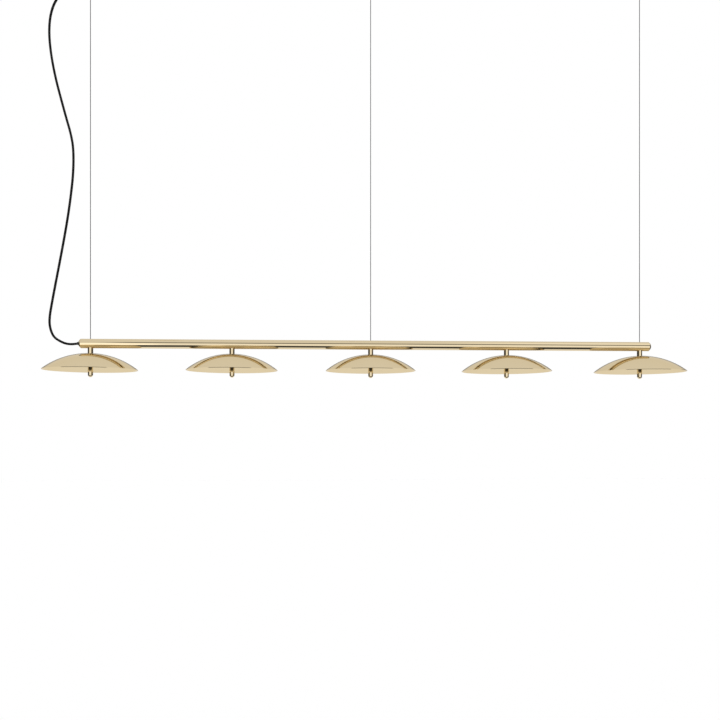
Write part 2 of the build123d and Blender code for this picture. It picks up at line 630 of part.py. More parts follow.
def terminal_block():
    """Block in which the mains wires end, with its screw wells open upwards."""
    size_x, size_y, height = BLOCK_SIZE
    x = CANOPY_X + BLOCK_OFFSET[0]
    y = BLOCK_OFFSET[1]
    body = block(x - size_x / 2, x + size_x / 2, y - size_y / 2, y + size_y / 2,
                 CANOPY_FLOOR, CANOPY_FLOOR + height)
    for row in (-1, 1):
        for column in (-1, 0, 1):
            screw_x = x + row * size_x / 4
            screw_y = y + column * size_y / 3
            body -= rod(BLOCK_SCREW / 2, CANOPY_FLOOR + height / 2, CANOPY_FLOOR + height,
                        screw_x, screw_y)
    return body


def driver_leads():
    """Supply lead from the terminal block, and the feed from the driver to the cord's gland."""
    supply_z = CANOPY_FLOOR + BLOCK_SIZE[2] / 2
    block_face = CANOPY_X + BLOCK_OFFSET[0] + BLOCK_SIZE[0] / 2
    supply = bar_x(BUS_DIAMETER / 2, block_face, DRIVER_FACE_X, BLOCK_OFFSET[1], supply_z)
    gland_top = CANOPY_FLOOR + GLAND_NUT_THICK + GLAND_STUB
    feed_z = gland_top + 2 * BUS_DIAMETER
    side = STUD_THREAD_RADIUS + 2 * BUS_DIAMETER
    points = [
        (GLAND_X, 0, gland_top),
        (GLAND_X, 0, feed_z),
        (GLAND_X + side, -side, feed_z),
        (DRIVER_FACE_X, -side, feed_z),
    ]
    feed = tube_along(points, [BUS_BEND, BUS_BEND], BUS_DIAMETER)
    return [supply, feed]


# ---- power cord ----
def cord_radii(points):
    """For each corner, the largest arc that its two runs allow."""
    radii = []
    for before, here, after in zip(points, points[1:], points[2:]):
        run_in = Vector(*here) - Vector(*before)
        run_out = Vector(*after) - Vector(*here)
        half_turn = math.radians(run_in.get_angle(run_out)) / 2
        radii.append(ARC_SHARE * min(run_in.length, run_out.length) / math.tan(half_turn))
    return radii


def power_cord():
    """The black cord, from the ferrule round its loop to the gland."""
    points = [(x, y, RAIL_Z + height) for x, y, height in CORD_POINTS]
    radii = cord_radii(points)
    path = FilletPolyline(*points, radius=radii)
    cord = tube_along(points, radii, CORD_DIAMETER)
    section = math.pi * CORD_DIAMETER**2 / 4
    print("cord length", round(path.length, 1), "tightest arc", round(min(radii), 1))
    print("cord arcs", [round(r) for r in radii])
    print("cord volume over section times length", round(cord.volume / section / path.length, 5))
    return cord


# ---- every node and its solid ----
def all_nodes():
    nodes = {
        "rail_tube": rail_tube(),
        "end_cap_left": end_cap_for_cord(),
        "end_cap_right": end_cap(),
        "cord_ferrule": cord_ferrule(),
        "rail_hubs": group(rail_hub(x) for x in SHADE_PLACES),
        "rail_wiring": rail_wiring(),
        "cable_stops": group(cable_stop(x) for x in CABLE_PLACES.values()),
        "lamp_nipples": group(lamp_nipple(x) for x in SHADE_PLACES),
        "lamp_leads": group(lamp_lead(x) for x in SHADE_PLACES),
        "shade_nuts": group(shade_nut(x) for x in SHADE_PLACES),
        "head_plates": group(head_plate(x) for x in SHADE_PLACES),
        "led_boards": group(led_board(x) for x in SHADE_PLACES),
        "ceiling_bases": group([ceiling_base("centre"), ceiling_base("right")]),
        "canopy_cover": canopy_cover(),
        "canopy_bracket": canopy_bracket(),
        "canopy_nipple": canopy_nipple(),
        "canopy_locknuts": group([
            locknut(BRACKET_MIDDLE_TOP),
            locknut(BRACKET_MIDDLE_BOTTOM - LOCKNUT_THICK),
        ]),
        "cord_gland": cord_gland(),
        "led_driver": led_driver(),
        "terminal_block": terminal_block(),
        "driver_leads": group(driver_leads()),
        "power_cord": power_cord(),
    }
    for number, x in enumerate(SHADE_PLACES, start=1):
        nodes[f"stem_{number}"] = stem(x)
        nodes[f"shade_{number}"] = shade(x)
        nodes[f"diffuser_{number}"] = diffuser(x)
        nodes[f"finial_{number}"] = finial(x)
    for side in CABLE_PLACES:
        nodes[f"cable_{side}"] = cable(side)
        nodes[f"gripper_{side}"] = gripper(side)
        nodes[f"release_{side}"] = release(side)
        nodes[f"spring_{side}"] = spring(side)
    return nodes


NODES = all_nodes()
for name, shape in NODES.items():
    export_step(shape, f"parts/{name}.step")
print(len(NODES), "nodes, spring gap", round(spring_gap(), 2))
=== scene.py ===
import math

import bmesh
import bpy
import numpy as np
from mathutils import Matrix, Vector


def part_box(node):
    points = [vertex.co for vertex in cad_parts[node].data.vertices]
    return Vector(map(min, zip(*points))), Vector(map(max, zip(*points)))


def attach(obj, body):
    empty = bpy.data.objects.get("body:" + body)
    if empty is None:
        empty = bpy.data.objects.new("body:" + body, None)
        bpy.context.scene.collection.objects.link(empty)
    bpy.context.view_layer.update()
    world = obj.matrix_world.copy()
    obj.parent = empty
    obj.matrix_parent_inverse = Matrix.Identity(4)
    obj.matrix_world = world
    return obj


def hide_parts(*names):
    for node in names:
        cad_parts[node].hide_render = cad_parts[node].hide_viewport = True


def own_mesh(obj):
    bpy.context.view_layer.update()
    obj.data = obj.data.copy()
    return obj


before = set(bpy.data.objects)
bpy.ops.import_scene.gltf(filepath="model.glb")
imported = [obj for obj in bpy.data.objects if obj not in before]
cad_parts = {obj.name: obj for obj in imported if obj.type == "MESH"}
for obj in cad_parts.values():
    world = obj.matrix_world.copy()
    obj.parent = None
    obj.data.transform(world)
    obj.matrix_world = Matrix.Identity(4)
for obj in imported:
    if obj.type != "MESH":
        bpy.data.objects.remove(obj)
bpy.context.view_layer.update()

# A linear island pendant: five polished champagne brass dishes under one straight brass rail, hung on
# three steel cables and fed by one black cord. Metres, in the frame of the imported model: +Z up, X along
# the rail, and the origin in the ceiling plane over the middle dish.

# ---- places read from the frame ----
SHADES = range(1, 6)
SIDES = ("left", "centre", "right")


def middle(node):
    """Middle of a node's box at rest."""
    low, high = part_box(node)
    return (np.array(low) + np.array(high)) / 2


RAIL_LOW, RAIL_HIGH = (np.array(corner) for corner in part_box("rail_tube"))
RAIL_Z = (RAIL_LOW[2] + RAIL_HIGH[2]) / 2
RAIL_RADIUS = (RAIL_HIGH[2] - RAIL_LOW[2]) / 2
RAIL_END = RAIL_HIGH[0]
SHADE_X = {i: middle(f"stem_{i}")[0] for i in SHADES}
CABLE_X = {side: middle(f"cable_{side}")[0] for side in SIDES}


# ---- camera ----
CAMERA_PLACE = (-0.15139, -2.11831, -1.31785)
CAMERA_YAW = 0.05751
CAMERA_LENS_MM = 38.43
CAMERA_SENSOR_MM = 36.0
CAMERA_SHIFT_Y = 0.08384
CAMERA_REACH = 100.0


def add_camera():
    """Level camera a little below the dishes, its view shifted up as in the photograph."""
    data = bpy.data.cameras.new("camera")
    data.lens = CAMERA_LENS_MM
    data.sensor_width = CAMERA_SENSOR_MM
    data.shift_y = CAMERA_SHIFT_Y
    data.clip_end = CAMERA_REACH
    camera = bpy.data.objects.new("camera", data)
    camera.location = CAMERA_PLACE
    camera.rotation_euler = (math.pi / 2, 0.0, -CAMERA_YAW)
    bpy.context.scene.collection.objects.link(camera)
    bpy.context.scene.camera = camera


# ---- material helpers ----
def grey(level):
    """A plain colour of that level, for a shader's socket."""
    return (level, level, level, 1.0)


def add_node(nodes, kind, **values):
    """A shader node with some of its input sockets set."""
    node = nodes.new(kind)
    for name, value in values.items():
        node.inputs[name.replace("_", " ")].default_value = value
    return node


def object_noise(nodes, links, scale, detail, stretch):
    """Noise on Object coordinates, scale times a metre; stretch scales each axis."""
    place = nodes.new("ShaderNodeTexCoord")
    mapping = add_node(nodes, "ShaderNodeMapping", Scale=stretch)
    noise = add_node(nodes, "ShaderNodeTexNoise", Scale=scale, Detail=detail)
    links.new(place.outputs["Object"], mapping.inputs["Vector"])
    links.new(mapping.outputs["Vector"], noise.inputs["Vector"])
    return noise.outputs["Fac"]


def clouded(name, colours, rough, scale, detail=2.0, stretch=(1.0, 1.0, 1.0), relief=None):
    """Material whose colour and roughness go from the first value to the second with one noise. Relief
    is the strength and depth of the bump that the same noise gives. Returns it with its shader."""
    material = bpy.data.materials.new(name)
    material.use_nodes = True
    nodes, links = material.node_tree.nodes, material.node_tree.links
    shader = nodes["Principled BSDF"]
    noise = object_noise(nodes, links, scale, detail, stretch)

    mix = nodes.new("ShaderNodeMix")
    mix.data_type = "RGBA"
    mix.inputs["A"].default_value = (*colours[0], 1.0)
    mix.inputs["B"].default_value = (*colours[1], 1.0)
    links.new(noise, mix.inputs["Factor"])
    links.new(mix.outputs["Result"], shader.inputs["Base Color"])

    spread = add_node(nodes, "ShaderNodeMapRange", To_Min=rough[0], To_Max=rough[1])
    links.new(noise, spread.inputs["Value"])
    links.new(spread.outputs["Result"], shader.inputs["Roughness"])

    if relief:
        bump = add_node(nodes, "ShaderNodeBump", Strength=relief[0], Distance=relief[1])
        links.new(noise, bump.inputs["Height"])
        links.new(bump.outputs["Normal"], shader.inputs["Normal"])
    return material, shader


def shade_of(colour, share):
    """The colour at a share of its level."""
    return tuple(channel * share for channel in colour)


# ---- finishes ----
BRASS_COLOUR = (0.70, 0.585, 0.385)
BRASS_EDGE_TINT = (0.88, 0.82, 0.70, 1.0)
ROPE_EDGE_TINT = grey(0.35)


def polished_brass():
    """Clear polished brass with very faint clouding from hand polishing."""
    colours = (shade_of(BRASS_COLOUR, 0.98), shade_of(BRASS_COLOUR, 1.02))
    material, shader = clouded("polished_champagne_brass", colours, (0.03, 0.05), 9.0, detail=3.0)
    shader.inputs["Metallic"].default_value = 1.0
    shader.inputs["Specular Tint"].default_value = BRASS_EDGE_TINT
    return material


def worked_metal(name, colour, rough, marks, edge_tint=grey(1.0)):
    """Metal without lacquer, with the fine marks of its tool or die, so many to a metre of height."""
    material, shader = clouded(name, (shade_of(colour, 0.9), colour), (rough * 0.8, rough * 1.25), marks,
                               stretch=(0.08, 0.08, 1.0), relief=(0.15, 0.00004))
    shader.inputs["Metallic"].default_value = 1.0
    shader.inputs["Specular Tint"].default_value = edge_tint
    return material


def moulded_plastic(name, colour, rough):
    """Moulded plastic with a fine even grain."""
    return clouded(name, (shade_of(colour, 0.93), colour), (rough * 0.9, rough * 1.1), 1800.0, detail=3.0,
                   relief=(0.12, 0.00005))[0]


def opal_plastic():
    """Milky white plastic of the diffusers, with a satin face."""
    return clouded("opal_diffuser", ((0.86, 0.86, 0.84), (0.90, 0.90, 0.88)), (0.30, 0.38), 40.0)[0]


def cord_jacket():
    """Black round jacket of the power cord, slightly dull, with the faint ripple of its inner wires."""
    colours = ((0.0025, 0.0025, 0.0027), (0.0050, 0.0050, 0.0053))
    material, shader = clouded("black_cord_jacket", colours, (0.48, 0.62), 900.0, relief=(0.2, 0.00006))
    shader.inputs["Specular IOR Level"].default_value = 0.15
    return material


# ---- surfaces ----
SMOOTH_TO = 30.0
WELD = 1e-6
TURNED_SIDES = 96


def hang_piece(name, mesh, finish, node, body="fixture", smooth_to=SMOOTH_TO):
    """Smooth a mesh up to that angle between faces, and let it stand for a CAD node on its body."""
    mesh.shade_smooth()
    mesh.set_sharp_from_angle(angle=math.radians(smooth_to))
    mesh.materials.append(finish)
    piece = bpy.data.objects.new(name, mesh)
    bpy.context.scene.collection.objects.link(piece)
    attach(piece, body)
    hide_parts(node)
    return piece


def closed_surface(name, grid, finish, node, body="fixture", loop=True):
    """Piece whose skin is the grid of points[i, j]: j goes round, and i goes round too where loop is
    true. Points that meet are welded, so poles and seams are closed, and the faces point outwards."""
    along, around = grid.shape[:2]
    index = np.arange(along * around).reshape(along, around)
    last = along if loop else along - 1
    i, j = np.meshgrid(np.arange(last), np.arange(around), indexing="ij")
    i_next, j_next = (i + 1) % along, (j + 1) % around
    faces = np.stack([index[i, j], index[i, j_next], index[i_next, j_next], index[i_next, j]], -1)
    mesh = bpy.data.meshes.new(name)
    mesh.from_pydata(grid.reshape(-1, 3).tolist(), [], faces.reshape(-1, 4).tolist())

    skin = bmesh.new()
    skin.from_mesh(mesh)
    bmesh.ops.remove_doubles(skin, verts=skin.verts, dist=WELD)
    bmesh.ops.recalc_face_normals(skin, faces=skin.faces)
    skin.to_mesh(mesh)
    skin.free()
    return hang_piece(name, mesh, finish, node, body)


def circle_angles(sides):
    """Even angles once round a circle, the first at 0."""
    return np.arange(sides) * (2 * math.pi / sides)


def lathe_grid(profile, centre, axis="z", sides=TURNED_SIDES):
    """Each profile point (radius r, height h) goes once round the axis through centre: it is at
    (r cos a, r sin a, h), or for the X axis at (h, r cos a, r sin a)."""
    radius, along = np.asarray(profile, float).T
    angle = circle_angles(sides)
    u = np.outer(radius, np.cos(angle))
    v = np.outer(radius, np.sin(angle))
    w = np.repeat(along[:, None], sides, axis=1)
    parts = (u, v, w) if axis == "z" else (w, u, v)
    return np.stack(parts, -1) + np.asarray(centre, float)


def arc(centre, radius, start, end, steps):
    """Points centre + radius (cos a, sin a) in the profile's plane, with a in degrees from start to end."""
    angle = np.radians(np.linspace(start, end, steps + 1))
    return np.stack([centre[0] + radius * np.cos(angle), centre[1] + radius * np.sin(angle)], -1)


# ---- dishes ----
SHADE_RISE = 0.0443
SHADE_SHEET = 0.0012
SHADE_LAND = 0.010
SHADE_HOLE = 0.0051
SHADE_SIDES = 256
SHADE_STEPS = 72


def dish_profile(radius, land_z):
    """Closed section of the spun dish: hole, flat land, outer sphere, edge cut square to the sheet, inner
    sphere, land again. A dish of radius r and rise h is part of a sphere of radius (r^2 + h^2) / 2h."""
    sphere = (radius**2 + SHADE_RISE**2) / (2 * SHADE_RISE)
    centre = (0.0, land_z - math.sqrt(sphere**2 - SHADE_LAND**2))
    inner = sphere - SHADE_SHEET
    land_angle = math.degrees(math.acos(SHADE_LAND / sphere))
    rim_angle = math.degrees(math.acos(radius / sphere))
    inner_land = math.degrees(math.asin((land_z - SHADE_SHEET - centre[1]) / inner))
    outside = arc(centre, sphere, land_angle, rim_angle, SHADE_STEPS)
    inside = arc(centre, inner, rim_angle, inner_land, SHADE_STEPS)
    hole = [(SHADE_HOLE, land_z - SHADE_SHEET), (SHADE_HOLE, land_z)]
    return np.vstack([hole, outside, inside])


def add_dishes(brass):
    """The dish's section turned round its axis: both faces are parts of spheres with one centre."""
    for i in SHADES:
        low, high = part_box(f"shade_{i}")
        profile = dish_profile((high[0] - low[0]) / 2, high[2])
        grid = lathe_grid(profile, (SHADE_X[i], 0, 0), sides=SHADE_SIDES)
        closed_surface(f"dish_{i}", grid, brass, f"shade_{i}")


# ---- rail ----
RAIL_WALL = 0.0015
RAIL_EDGE = 0.00025
RAIL_EDGE_STEPS = 4
RAIL_STATIONS = 41
RAIL_SIDES = 192
CAP_PLUG = 0.0060
CAP_PLUG_WALL = 0.0032
CAP_FIT = 0.0001
CAP_STEPS = 39
CAP_SIDES = 128
BUSH_RADIUS = 0.0042


def add_rail(brass):
    """The tube: outer and inner cylinder round the X axis, with a quarter circle at each outer edge."""
    inner = RAIL_RADIUS - RAIL_WALL
    shoulder = RAIL_RADIUS - RAIL_EDGE
    reach = RAIL_END - 2 * RAIL_EDGE
    stations = np.linspace(-reach, reach, RAIL_STATIONS)
    profile = np.vstack([
        arc((shoulder, RAIL_EDGE - RAIL_END), RAIL_EDGE, -90, 0, RAIL_EDGE_STEPS),
        np.stack([np.full_like(stations, RAIL_RADIUS), stations], -1),
        arc((shoulder, RAIL_END - RAIL_EDGE), RAIL_EDGE, 0, 90, RAIL_EDGE_STEPS),
        [(inner, RAIL_END), (inner, -RAIL_END)],
    ])
    grid = lathe_grid(profile, (0, 0, RAIL_Z), axis="x", sides=RAIL_SIDES)
    closed_surface("rail", grid, brass, "rail_tube")


def add_end_caps(brass):
    """Domed caps with a hollow plug in the tube. A dome of rise h on a rail of radius R is part of a
    sphere of radius (R^2 + h^2) / 2h. The left one has a hole for the cord's bush."""
    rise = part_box("end_cap_right")[1][0] - RAIL_END
    sphere = (RAIL_RADIUS**2 + rise**2) / (2 * rise)
    centre = (0.0, RAIL_END + rise - sphere)
    hole = BUSH_RADIUS + CAP_FIT
    plug = RAIL_RADIUS - RAIL_WALL - CAP_FIT
    hollow = RAIL_RADIUS - RAIL_WALL - CAP_PLUG_WALL
    plug_end = RAIL_END - CAP_PLUG
    rim_angle = math.degrees(math.acos(RAIL_RADIUS / sphere))
    for side, direction, inside in (("right", 1, 0.0), ("left", -1, hole)):
        top_angle = math.degrees(math.acos(inside / sphere))
        profile = np.vstack([
            arc(centre, sphere, top_angle, rim_angle, CAP_STEPS),
            [(plug, RAIL_END), (plug, plug_end), (hollow, plug_end), (hollow, RAIL_END), (inside, RAIL_END)],
        ])
        profile[:, 1] *= direction
        grid = lathe_grid(profile, (0, 0, RAIL_Z), axis="x", sides=CAP_SIDES)
        closed_surface(f"cap_{side}", grid, brass, f"end_cap_{side}", loop=inside > 0)


# ---- stems ----
STEM_BORE = 0.0051
STEM_SIDES = 128
STEM_ROWS = (0.0, 0.02, 0.5, 0.98, 1.0)


def add_stems(brass):
    """Sleeves coped to the rail: a point at radius r and angle a has its top at the rail's centre less
    sqrt(R^2 - (r sin a)^2). The rows of the outer face are at the STEM_ROWS shares of that height."""
    angle = circle_angles(STEM_SIDES)
    for i in SHADES:
        low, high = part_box(f"stem_{i}")
        radius = (high[0] - low[0]) / 2
        rows = [(STEM_BORE, 0.0), *[(radius, share) for share in STEM_ROWS], (STEM_BORE, 1.0)]
        r, share = np.array(rows).T[:, :, None]
        cope = RAIL_Z - np.sqrt(RAIL_RADIUS**2 - (r * np.sin(angle)) ** 2)
        height = low[2] + share * (cope - low[2])
        grid = np.stack([SHADE_X[i] + r * np.cos(angle), r * np.sin(angle), height], -1)
        closed_surface(f"stem_sleeve_{i}", grid, brass, f"stem_{i}")


# ---- finials ----
STUD_RADIUS = 0.0030
FINIAL_END_RADIUS = 0.0066
FINIAL_EDGE = 0.0003
FINIAL_EDGE_STEPS = 6
FINIAL_RINGS = 80
FINIAL_END_STEPS = 32


def add_finials(brass):
    """Long nut turned from one bar with its stud. The barrel narrows evenly from the shoulder to the
    round end, which is half a sphere."""
    for i in SHADES:
        low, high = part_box(f"finial_{i}")
        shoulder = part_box(f"diffuser_{i}")[0][2]
        radius = (high[0] - low[0]) / 2
        end_start = low[2] + FINIAL_END_RADIUS
        barrel = np.linspace((radius, shoulder - FINIAL_EDGE), (FINIAL_END_RADIUS, end_start), FINIAL_RINGS)
        profile = np.vstack([
            [(0.0, high[2]), (STUD_RADIUS, high[2]), (STUD_RADIUS, shoulder)],
            arc((radius - FINIAL_EDGE, shoulder - FINIAL_EDGE), FINIAL_EDGE, 90, 0, FINIAL_EDGE_STEPS),
            barrel[1:-1],
            arc((0.0, end_start), FINIAL_END_RADIUS, 0, -90, FINIAL_END_STEPS),
        ])
        profile[-1, 0] = 0.0
        grid = lathe_grid(profile, (SHADE_X[i], 0, 0))
        closed_surface(f"finial_nut_{i}", grid, brass, f"finial_{i}", body=f"finial_{i}",
                       loop=False)


# ---- springs in the grippers ----
SPRING_WIRE = 0.0007
SPRING_TURNS = 3
SPRING_RINGS_A_TURN = 48
SPRING_SIDES = 12


def add_springs(steel):
    """Round wire whose middle is a helix (R cos t, R sin t, rise t), each ring a circle square to it."""
    for side in SIDES:
        low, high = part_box(f"spring_{side}")
        x, seat, length = float(CABLE_X[side]), float(high[2]), high[2] - low[2]
        radius = (high[0] - low[0] - SPRING_WIRE) / 2
        t = np.linspace(0, 2 * math.pi * SPRING_TURNS, SPRING_RINGS_A_TURN * SPRING_TURNS + 1)
        rise = (length - SPRING_WIRE) / t[-1]
        height = low[2] + SPRING_WIRE / 2 + rise * t
        line = np.stack([x + radius * np.cos(t), radius * np.sin(t), height], -1)
        run = np.stack([-radius * np.sin(t), radius * np.cos(t), rise + 0 * t], -1)
        run /= np.linalg.norm(run, axis=1)[:, None]
        outward = np.stack([np.cos(t), np.sin(t), 0 * t], -1)
        across = np.cross(run, outward)
        angle = circle_angles(SPRING_SIDES)[:, None]
        circle = outward[:, None] * np.cos(angle) + across[:, None] * np.sin(angle)
        rings = line[:, None] + circle * SPRING_WIRE / 2
        first, last = (np.repeat(line[[end]], SPRING_SIDES, axis=0)[None] for end in (0, -1))
        grid = np.concatenate([first, rings, last])
        coil = closed_surface(f"spring_wire_{side}", grid, steel, f"spring_{side}",
                              loop=False)
        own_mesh(coil)


# ---- suspension cables ----
CABLE_DIAMETER = 0.0020
CABLE_POINTS = 5
STRANDS = 6
STRAND_RADIUS = CABLE_DIAMETER / 6
STRAND_SIDES = 6
STRAND_LAY = 0.014
STRAND_RINGS_A_TURN = 9
STRAND_SMOOTH_TO = 70.0
CURVE_ORDER = 3
CURVE_STEPS = 12


def smooth_line(name, points):
    """NURBS curve with the points as its control points."""
    curve = bpy.data.curves.new(name, "CURVE")
    curve.dimensions = "3D"
    spline = curve.splines.new("NURBS")
    spline.points.add(len(points) - 1)
    for point, place in zip(spline.points, points):
        point.co = (*place, 1.0)
    spline.order_u = CURVE_ORDER
    spline.use_endpoint_u = True
    spline.resolution_u = CURVE_STEPS
    return bpy.data.objects.new(name, curve)


def points_on(line):
    """Points of a bare NURBS line, in order from its start."""
    mesh = bpy.data.meshes.new_from_object(line)
    points = np.empty(len(mesh.vertices) * 3)
    mesh.vertices.foreach_get("co", points)
    bpy.data.meshes.remove(mesh)
    curve = line.data
    bpy.data.objects.remove(line)
    bpy.data.curves.remove(curve)
    return points.reshape(-1, 3)


def rope_mesh(name, centres, along):
    """Six strands round a straight core. Strand k's middle is 2 s (cos p, sin p) from the rope's, where s is
    a strand's radius and p is 2 pi (along / lay + k / 6), and each strand is a tube closed at both ends."""
    rings, ring_points = len(centres), len(centres) * STRAND_SIDES
    angle = circle_angles(STRAND_SIDES)
    ring = np.stack([np.cos(angle), np.sin(angle), 0 * angle], -1) * STRAND_RADIUS
    i, j = np.meshgrid(np.arange(rings - 1), np.arange(STRAND_SIDES), indexing="ij")
    j_next = (j + 1) % STRAND_SIDES
    verts, faces = [], []
    for k in range(STRANDS + 1):
        offset = 0.0 if k == STRANDS else 2 * STRAND_RADIUS
        phase = 2 * math.pi * along / STRAND_LAY + 2 * math.pi * k / STRANDS
        spin = np.stack([offset * np.cos(phase), offset * np.sin(phase), 0 * phase], -1)
        verts.append(((centres + spin)[:, None, :] + ring[None, :, :]).reshape(-1, 3))
        index = k * ring_points + np.arange(ring_points).reshape(rings, STRAND_SIDES)
        quads = np.stack([index[i, j], index[i, j_next], index[i + 1, j_next], index[i + 1, j]], -1)
        faces += quads.reshape(-1, 4).tolist()
        faces += [index[0][::-1].tolist(), index[-1].tolist()]
    mesh = bpy.data.meshes.new(name)
    mesh.from_pydata(np.vstack(verts).tolist(), [], faces)
    return mesh


def add_cables(steel):
    """Taut wire ropes, straight up from the rail, with rings at even steps along each."""
    for side in SIDES:
        low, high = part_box(f"cable_{side}")
        x, bottom, top = CABLE_X[side], float(low[2]), float(high[2])
        heights = np.linspace(bottom, top, CABLE_POINTS)
        line = points_on(smooth_line(f"cable_line_{side}", [(x, 0.0, z) for z in heights]))
        run = np.concatenate([[0.0], np.cumsum(np.linalg.norm(np.diff(line, axis=0), axis=1))])
        along = np.linspace(0.0, run[-1], int((top - bottom) / STRAND_LAY * STRAND_RINGS_A_TURN) + 1)
        centres = np.stack([np.interp(along, run, line[:, k]) for k in range(3)], -1)
        name = f"wire_rope_{side}"
        rope = hang_piece(name, rope_mesh(name, centres, along), steel, f"cable_{side}",
                          smooth_to=STRAND_SMOOTH_TO)
        rope.visible_glossy = False


# ---- power cord ----
CORD_DIAMETER = 0.0064
CORD_ROUNDNESS = 6
# X, Y and height above the rail's centre, from the rail's end round the hanging loop to the canopy
CORD_POINTS = [
    (-0.7950, 0.0000, -0.0004),
    (-0.8005, 0.0000, -0.0012),
    (-0.8115, -0.0001, -0.0022),
    (-0.8255, -0.0003, -0.0007),
    (-0.8415, -0.0007, 0.0062),
    (-0.8572, -0.0011, 0.0170),
    (-0.8660, -0.0020, 0.0385),
    (-0.8682, -0.0035, 0.0640),
    (-0.8608, -0.0055, 0.1060),
    (-0.8470, -0.0075, 0.1760),
    (-0.8321, -0.0090, 0.2520),
    (-0.8181, -0.0100, 0.3300),
    (-0.8086, -0.0100, 0.3980),
    (-0.8024, -0.0090, 0.4620),
    (-0.8027, -0.0075, 0.5250),
    (-0.8110, -0.0050, 0.5670),
    (-0.8222, -0.0030, 0.6040),
    (-0.8354, -0.0005, 0.6510),
    (-0.8506, 0.0020, 0.7060),
    (-0.8631, 0.0035, 0.7650),
    (-0.8700, 0.0040, 0.8180),
    (-0.8707, 0.0040, 0.8580),
    (-0.8662, 0.0035, 0.8930),
    (-0.8553, 0.0030, 0.9240),
    (-0.8340, 0.0020, 0.9530),
    (-0.8150, 0.0010, 0.9820),
    (-0.7995, 0.0005, 1.0080),
    (-0.7920, 0.0000, 1.0290),
    (-0.7920, 0.0000, 1.0430),
]


def add_power_cord(jacket):
    """One smooth NURBS line through the route, swept round."""
    cord = smooth_line("power_cord_flex", [(x, y, RAIL_Z + height) for x, y, height in CORD_POINTS])
    cord.data.bevel_depth = CORD_DIAMETER / 2
    cord.data.bevel_resolution = CORD_ROUNDNESS
    cord.data.use_fill_caps = True
    cord.data.materials.append(jacket)
    bpy.context.scene.collection.objects.link(cord)
    cord.visible_glossy = False
    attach(cord, "fixture")
    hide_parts("power_cord")


# ---- finishes of the pieces that keep their CAD shape ----
def dress(material, *names):
    """Give CAD nodes their finish."""
    for name in names:
        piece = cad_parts[name]
        piece.data.materials.clear()
        piece.data.materials.append(material)


def dress_fittings(brass):
    """Ceiling fittings, and what is inside the rail, the dishes and the canopy."""
    dress(brass, "ceiling_bases", "canopy_cover", *[f"gripper_{side}" for side in SIDES])
    dress(worked_metal("turned_brass", (0.62, 0.45, 0.20), 0.28, 2400.0), "rail_hubs")
    dress(worked_metal("zinc_plated_steel", (0.60, 0.61, 0.63), 0.30, 1500.0),
          "lamp_nipples", "shade_nuts", "canopy_bracket", "canopy_nipple", "canopy_locknuts", "cable_stops")
    dress(worked_metal("nickel_plate", (0.66, 0.64, 0.60), 0.14, 2000.0),
          *[f"release_{side}" for side in SIDES])
    dress(worked_metal("turned_aluminium", (0.72, 0.72, 0.72), 0.35, 1500.0), "head_plates")
    dress(opal_plastic(), *[f"diffuser_{i}" for i in SHADES])
    dress(moulded_plastic("white_circuit_board", (0.82, 0.82, 0.80), 0.35), "led_boards")
    dress(moulded_plastic("wire_jacket", (0.70, 0.70, 0.68), 0.45),
          "rail_wiring", "lamp_leads", "driver_leads")
    dress(moulded_plastic("black_nylon", (0.012, 0.012, 0.012), 0.45), "cord_gland", "cord_ferrule")
    dress(moulded_plastic("driver_case", (0.72, 0.72, 0.69), 0.45), "led_driver")
    dress(moulded_plastic("terminal_moulding", (0.62, 0.61, 0.56), 0.5), "terminal_block")


# ---- studio ----
# What polished metal sees of the studio. Pitch is the angle round the X axis (0 towards the camera, 90 up,
# -90 down), turn is the angle round the Z axis (0 towards the camera, 90 right) and height is the angle
# above level, all in degrees. x is the X of the direction itself, as a unit vector. Blur is the width of a
# soft edge, and a pair for x, for the sides or for fade_up holds a soft edge's two ends.
WALLS = 0.93
FRONT_PANEL = {"level": 1.20, "pitch": (-34.0, 16.0), "blur": 4.0, "turn": (-38.0, 50.0), "turn_blur": 12.0}
LEFT_LAMP = {"level": 1.38, "pitch": (-34.0, 2.0), "blur": 8.0,
             "from_x": (-0.50, -0.40), "to_x": (-0.22, -0.18)}
RIGHT_PANEL = {"level": 1.18, "pitch": (36.0, 84.0), "blur": 12.0, "from_x": (0.12, 0.28)}
SWEEP = {"level": 1.04, "pitch": (-170.0, -88.0), "blur": 4.0}
GAP_LEVEL = 0.07
GAP_SIDES = (0.75, 0.90)
GAP_ABOVE = {"pitch": (16.0, 33.0), "blur": 2.5, "from_x": (-0.28, -0.22)}
GAP_BELOW = {"pitch": (-79.0, -34.0), "blur": 4.0, "wider": 10.0, "wider_x": (0.12, 0.26)}
GAP_ROUND = {"low": -26.0, "blur": 7.0, "fade_up": (5.0, 26.0), "back_low": -2.0, "back_turn": (115.0, 150.0)}
FLOOR_Z = -3.8
FLOOR_SIZE = 60.0


